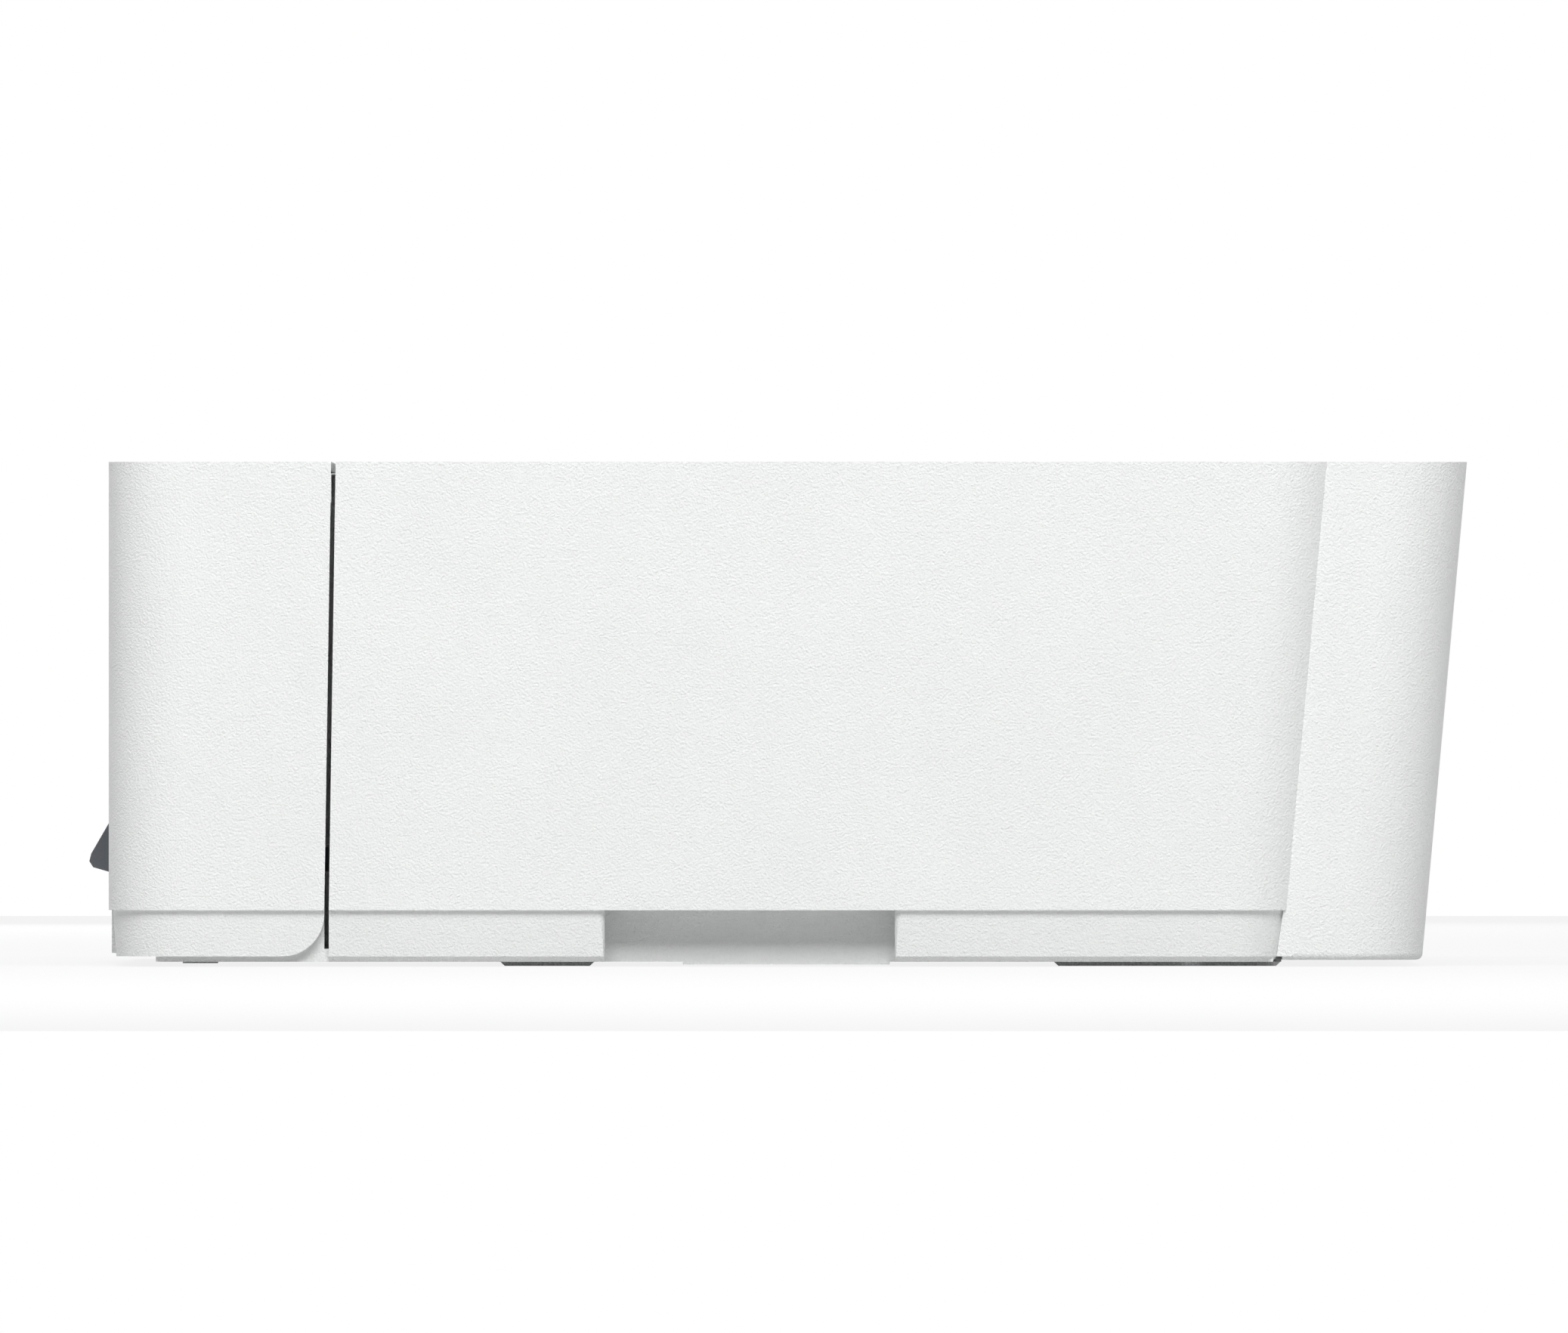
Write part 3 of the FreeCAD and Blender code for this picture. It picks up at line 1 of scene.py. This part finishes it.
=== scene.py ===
import math
import bpy
import bmesh
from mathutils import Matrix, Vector


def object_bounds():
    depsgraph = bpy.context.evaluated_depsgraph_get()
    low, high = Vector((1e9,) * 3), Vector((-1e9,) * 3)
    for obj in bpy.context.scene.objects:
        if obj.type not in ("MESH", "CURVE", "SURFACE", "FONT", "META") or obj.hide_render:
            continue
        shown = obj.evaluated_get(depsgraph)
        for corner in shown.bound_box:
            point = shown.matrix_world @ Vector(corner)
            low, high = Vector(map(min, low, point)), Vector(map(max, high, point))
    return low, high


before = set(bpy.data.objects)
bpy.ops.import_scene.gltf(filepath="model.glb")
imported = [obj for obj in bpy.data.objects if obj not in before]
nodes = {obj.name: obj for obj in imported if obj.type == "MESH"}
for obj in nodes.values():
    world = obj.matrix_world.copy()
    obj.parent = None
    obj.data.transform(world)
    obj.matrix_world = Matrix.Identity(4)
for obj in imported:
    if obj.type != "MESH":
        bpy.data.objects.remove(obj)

cad_low, cad_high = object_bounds()
scene = bpy.context.scene

# Surroundings, in metres and in shares of white
FLOOR_HALF = 3.0
FLOOR_DROP = 0.0002
FLOOR_GREY = 0.62
FLOOR_ROUGH = 0.9
FLOOR_GLOW = 0.85
WORLD_LEFT = 0.5
WORLD_RIGHT = 0.1
AIM = (0.0, 0.0, 0.07)

# Camera square to the printer's right side
VIEW_WIDTH = 0.4104
VIEW_DISTANCE = 16.0
VIEW_Y = 0.0022
VIEW_Z = 0.0784
SENSOR = 36.0
CLIP_END = 100.0

# Paint of the shell in linear light, the share of it kept on the base as painted shade, and the grain that
# is moulded into it
SHELL = (0.868, 0.88, 0.875)
BASE_PAINTED_SHADE_SHARE = 0.97
SHELL_GRAIN = {"spec": 0.3, "grain": 1700.0, "depth": 0.00045, "spread": 0.02, "strength": 1.0}


def add_node(tree, kind, links=None, **values):
    """A new shader node, with each named input linked to a socket or set to a value."""
    node = tree.nodes.new(kind)
    for key, value in values.items():
        setattr(node, key, value)
    for socket, source in (links or {}).items():
        if hasattr(source, "is_output"):
            tree.links.new(source, node.inputs[socket])
        else:
            node.inputs[socket].default_value = source
    return node


class Material:
    """A node material that is built up from one Principled shader."""

    def __init__(self, name, rough=0.5, metal=0.0, spec=0.5):
        self.mat = bpy.data.materials.new(name)
        self.mat.use_nodes = True
        self.tree = self.mat.node_tree
        self.shader = self.tree.nodes["Principled BSDF"]
        self.shader.inputs["Roughness"].default_value = rough
        self.shader.inputs["Metallic"].default_value = metal
        self.shader.inputs["Specular IOR Level"].default_value = spec
        self.coords = self.add("ShaderNodeTexCoord").outputs["Object"]

    def add(self, kind, links=None, **values):
        return add_node(self.tree, kind, links, **values)

    def link(self, source, socket):
        self.tree.links.new(source, self.shader.inputs[socket])

    def noise(self, scale, detail=4.0, rough=0.55, stretch=None):
        where = self.coords
        if stretch:
            where = self.add("ShaderNodeMapping", {"Vector": where, "Scale": stretch}).outputs["Vector"]
        links = {"Vector": where, "Scale": scale, "Detail": detail, "Roughness": rough}
        return self.add("ShaderNodeTexNoise", links).outputs["Fac"]

    def cells(self, scale):
        return self.add("ShaderNodeTexVoronoi", {"Vector": self.coords, "Scale": scale}).outputs["Distance"]

    def math(self, operation, first, second):
        return self.add("ShaderNodeMath", {0: first, 1: second}, operation=operation).outputs["Value"]

    def ramp(self, factor, low, high, start=0.3, end=0.7):
        node = self.add("ShaderNodeValToRGB", {"Fac": factor})
        first, last = node.color_ramp.elements
        first.position, last.position = start, end
        first.color, last.color = (*low, 1.0), (*high, 1.0)
        return node.outputs["Color"]

    def vary_roughness(self, factor, low, high):
        links = {"Value": factor, "To Min": low, "To Max": high}
        self.link(self.add("ShaderNodeMapRange", links).outputs["Result"], "Roughness")

    def bump(self, height, strength, distance):
        links = {"Height": height, "Strength": strength, "Distance": distance}
        self.link(self.add("ShaderNodeBump", links).outputs["Normal"], "Normal")


def tint(colour, factor):
    return tuple(min(1.0, c * factor) for c in colour)


def moulded(name, colour, rough=0.5, spec=0.35, grain=900.0, depth=0.00005, spread=0.03, strength=0.5):
    """Injection-moulded plastic: fine spark-eroded grain, slight tone drift."""
    m = Material(name, rough=rough, spec=spec)
    fine = m.noise(grain, detail=3.0, rough=0.6)
    broad = m.noise(35.0, detail=3.0)
    mixed = m.math("MULTIPLY", m.math("ADD", fine, broad), 0.5)
    m.link(m.ramp(mixed, tint(colour, 1.0 - spread), tint(colour, 1.0 + spread)), "Base Color")
    m.bump(fine, strength, depth)
    return m.mat


def steel(name, colour, rough, along):
    """Drawn or ground steel with streaks along the piece."""
    m = Material(name, rough=rough, metal=1.0)
    streak = m.noise(60.0, detail=5.0, rough=0.6, stretch=along)
    m.link(m.ramp(streak, tint(colour, 0.88), tint(colour, 1.08)), "Base Color")
    m.vary_roughness(streak, rough * 0.8, rough * 1.3)
    m.bump(streak, strength=0.15, distance=0.00005)
    return m.mat


def rubber(name, colour):
    """Matt rubber with fine specks."""
    m = Material(name, rough=0.75, spec=0.25)
    specks = m.noise(1500.0, detail=2.0)
    m.link(m.ramp(specks, tint(colour, 0.8), tint(colour, 1.25)), "Base Color")
    m.bump(specks, strength=0.3, distance=0.00006)
    return m.mat


def glossy(name, colour, rough=0.08):
    """Polished plastic with faint wiping marks."""
    m = Material(name, rough=rough)
    m.link(m.ramp(m.noise(25.0, detail=2.0), tint(colour, 0.9), tint(colour, 1.15)), "Base Color")
    m.vary_roughness(m.noise(140.0), rough * 0.7, rough * 1.8)
    return m.mat


def glass(name):
    """Clear glass with a slight green drift."""
    m = Material(name, rough=0.02)
    m.shader.inputs["Transmission Weight"].default_value = 0.92
    m.shader.inputs["IOR"].default_value = 1.5
    m.link(m.ramp(m.noise(18.0, detail=2.0), (0.86, 0.93, 0.91), (0.92, 0.96, 0.95)), "Base Color")
    return m.mat


def foam(name, colour):
    """Open-pored foam or felt."""
    m = Material(name, rough=0.9, spec=0.1)
    pores = m.cells(900.0)
    m.link(m.ramp(pores, tint(colour, 0.9), tint(colour, 1.04), start=0.1, end=0.6), "Base Color")
    m.bump(pores, strength=0.3, distance=0.0002)
    return m.mat


def board(name):
    """Circuit board with lighter tracks between its fields."""
    m = Material(name, rough=0.35)
    tracks = m.add("ShaderNodeTexBrick", {
        "Vector": m.coords,
        "Scale": 90.0,
        "Mortar Size": 0.06,
        "Color1": (0.010, 0.085, 0.035, 1.0),
        "Color2": (0.008, 0.070, 0.030, 1.0),
        "Mortar": (0.030, 0.160, 0.070, 1.0),
    })
    m.link(tracks.outputs["Color"], "Base Color")
    m.bump(m.noise(700.0), strength=0.2, distance=0.00005)
    return m.mat


white = moulded("shell_white", SHELL, rough=0.52, **SHELL_GRAIN)
# The base case gets the shell's white made a little darker, as painted shade for the underside
painted_shade_base = moulded("base_white_painted_shade", tint(SHELL, BASE_PAINTED_SHADE_SHARE), rough=0.55, **SHELL_GRAIN)
slate = moulded("slate_grey", (0.14, 0.15, 0.166), grain=1400.0, spread=0.08)
grey = moulded("mid_grey", (0.22, 0.23, 0.24), grain=1200.0, spread=0.06)
black = moulded("satin_black", (0.022, 0.022, 0.025), rough=0.42, grain=1300.0, spread=0.15)
blue = moulded("latch_blue", (0.05, 0.16, 0.34), rough=0.4, grain=1300.0, spread=0.06)
lens = glossy("panel_lens", (0.012, 0.012, 0.014))
cap = glossy("button_cap", (0.05, 0.052, 0.055), rough=0.25)
pane = glass("scan_glass")
tyre = rubber("roller_rubber", (0.03, 0.03, 0.032))
foot = rubber("foot_rubber", (0.74, 0.745, 0.75))
sheet_metal = steel("sheet_steel", (0.58, 0.59, 0.61), rough=0.32, along=(1.0, 12.0, 12.0))
bright = steel("ground_steel", (0.68, 0.69, 0.71), rough=0.18, along=(1.0, 30.0, 30.0))
pad = foam("white_foam", (0.82, 0.82, 0.80))
felt = foam("ink_felt", (0.5, 0.5, 0.49))
pcb = board("circuit_board")

finish = {
    white: ["right_side_panel", "left_side_panel", "front_cover", "rear_cover", "scanner_lid",
            "access_door", "rear_access_door", "tray_front"],
    painted_shade_base: ["base_case"],
    slate: ["output_extender", "output_tray", "scanner_bed"],
    grey: ["paper_tray", "width_guide_right", "width_guide_left", "guide_pinion", "length_guide",
           "rear_guide", "platen", "service_station", "pick_arm", "lid_hinges"],
    black: ["print_carriage", "ink_cartridge_black", "scan_carriage", "belt_drive_pulley",
            "belt_idler_pulley", "idler_gear", "motor_pinion", "power_inlet", "cap_sled", "star_wheels",
            "power_supply"],
    blue: ["ink_cartridge_colour", "cartridge_latch_black", "cartridge_latch_colour"],
    lens: ["control_panel"],
    cap: ["power_button", "wireless_button"],
    pane: ["scanner_glass", "scan_lens"],
    tyre: ["carriage_belt", "pick_roller", "turn_roller", "pinch_rollers", "feed_roller",
           "eject_roller"],
    foot: ["front_feet", "rear_feet"],
    sheet_metal: ["print_frame", "usb_port", "carriage_motor", "feed_motor"],
    bright: ["carriage_rod", "scan_rod", "case_screws"],
    pad: ["lid_backing"],
    felt: ["ink_absorber"],
    pcb: ["main_board"],
}
for material, names in finish.items():
    for name in names:
        slots = nodes[name].data.materials
        slots.clear()
        slots.append(material)


def seen_rays(tree):
    """1 for rays that show the surroundings in the picture, in metal or through glass."""
    path = tree.nodes.new("ShaderNodeLightPath")
    total = path.outputs["Is Camera Ray"]
    for name in ("Is Glossy Ray", "Is Transmission Ray"):
        links = {0: total, 1: path.outputs[name]}
        total = add_node(tree, "ShaderNodeMath", links, operation="MAXIMUM").outputs["Value"]
    return total


def floor_paper():
    """Paper that stays white to the camera but keeps a soft shadow."""
    paper = Material("studio_floor", rough=FLOOR_ROUGH)
    paper.shader.inputs["Base Color"].default_value = (FLOOR_GREY, FLOOR_GREY, FLOOR_GREY, 1.0)
    glow = paper.add("ShaderNodeEmission", {"Color": (1.0, 1.0, 1.0, 1.0)})
    share = paper.math("MULTIPLY", seen_rays(paper.tree), FLOOR_GLOW)
    links = {0: share, 1: paper.shader.outputs["BSDF"], 2: glow.outputs["Emission"]}
    blend = paper.add("ShaderNodeMixShader", links)
    surface = paper.tree.nodes["Material Output"].inputs["Surface"]
    paper.tree.links.new(blend.outputs["Shader"], surface)
    return paper.mat


def lay_floor():
    grid = bmesh.new()
    bmesh.ops.create_grid(grid, x_segments=1, y_segments=1, size=FLOOR_HALF)
    mesh = bpy.data.meshes.new("floor")
    grid.to_mesh(mesh)
    grid.free()
    mesh.materials.append(floor_paper())
    floor = bpy.data.objects.new("floor", mesh)
    floor.location = (0.0, 0.0, -FLOOR_DROP)
    scene.collection.objects.link(floor)


def light_world():
    """White surroundings for the camera, and as light a grey that falls from left to right."""
    world = bpy.data.worlds.new("studio")
    world.use_nodes = True
    scene.world = world
    tree = world.node_tree
    where = add_node(tree, "ShaderNodeTexCoord").outputs["Generated"]
    across = add_node(tree, "ShaderNodeSeparateXYZ", {"Vector": where}).outputs["X"]
    span = {"From Min": -1.0, "From Max": 1.0, "To Min": WORLD_LEFT, "To Max": WORLD_RIGHT}
    fall = add_node(tree, "ShaderNodeMapRange", {"Value": across, **span}).outputs["Result"]
    level = add_node(tree, "ShaderNodeMath", {0: seen_rays(tree), 1: fall}, operation="MAXIMUM")
    back = tree.nodes["Background"]
    back.inputs["Color"].default_value = (1.0, 1.0, 1.0, 1.0)
    tree.links.new(level.outputs["Value"], back.inputs["Strength"])


def area_light(name, place, size, power):
    data = bpy.data.lights.new(name, "AREA")
    data.shape = "RECTANGLE"
    data.size, data.size_y = size
    data.energy = power
    lamp = bpy.data.objects.new(name, data)
    lamp.location = place
    lamp.rotation_euler = (Vector(AIM) - Vector(place)).to_track_quat("-Z", "Y").to_euler()
    lamp.visible_camera = False
    scene.collection.objects.link(lamp)


def side_camera():
    """Far off with a long lens, so that the side is seen nearly without perspective."""
    data = bpy.data.cameras.new("camera")
    data.sensor_width = SENSOR
    data.lens = SENSOR * (VIEW_DISTANCE - cad_high[0]) / VIEW_WIDTH
    data.clip_end = CLIP_END
    camera = bpy.data.objects.new("camera", data)
    camera.location = (VIEW_DISTANCE, VIEW_Y, VIEW_Z)
    camera.rotation_euler = (math.radians(90.0), 0.0, math.radians(90.0))
    scene.collection.objects.link(camera)
    scene.camera = camera


lay_floor()
light_world()
area_light("key_side", place=(1.85, -0.1, 1.9), size=(1.6, 1.2), power=60.0)
area_light("rear_fill", place=(0.3, 2.0, 0.8), size=(1.2, 1.0), power=4.0)
area_light("left_fill", place=(-2.2, -0.5, 0.7), size=(1.4, 1.0), power=14.0)
side_camera()
scene.view_settings.view_transform = "Standard"
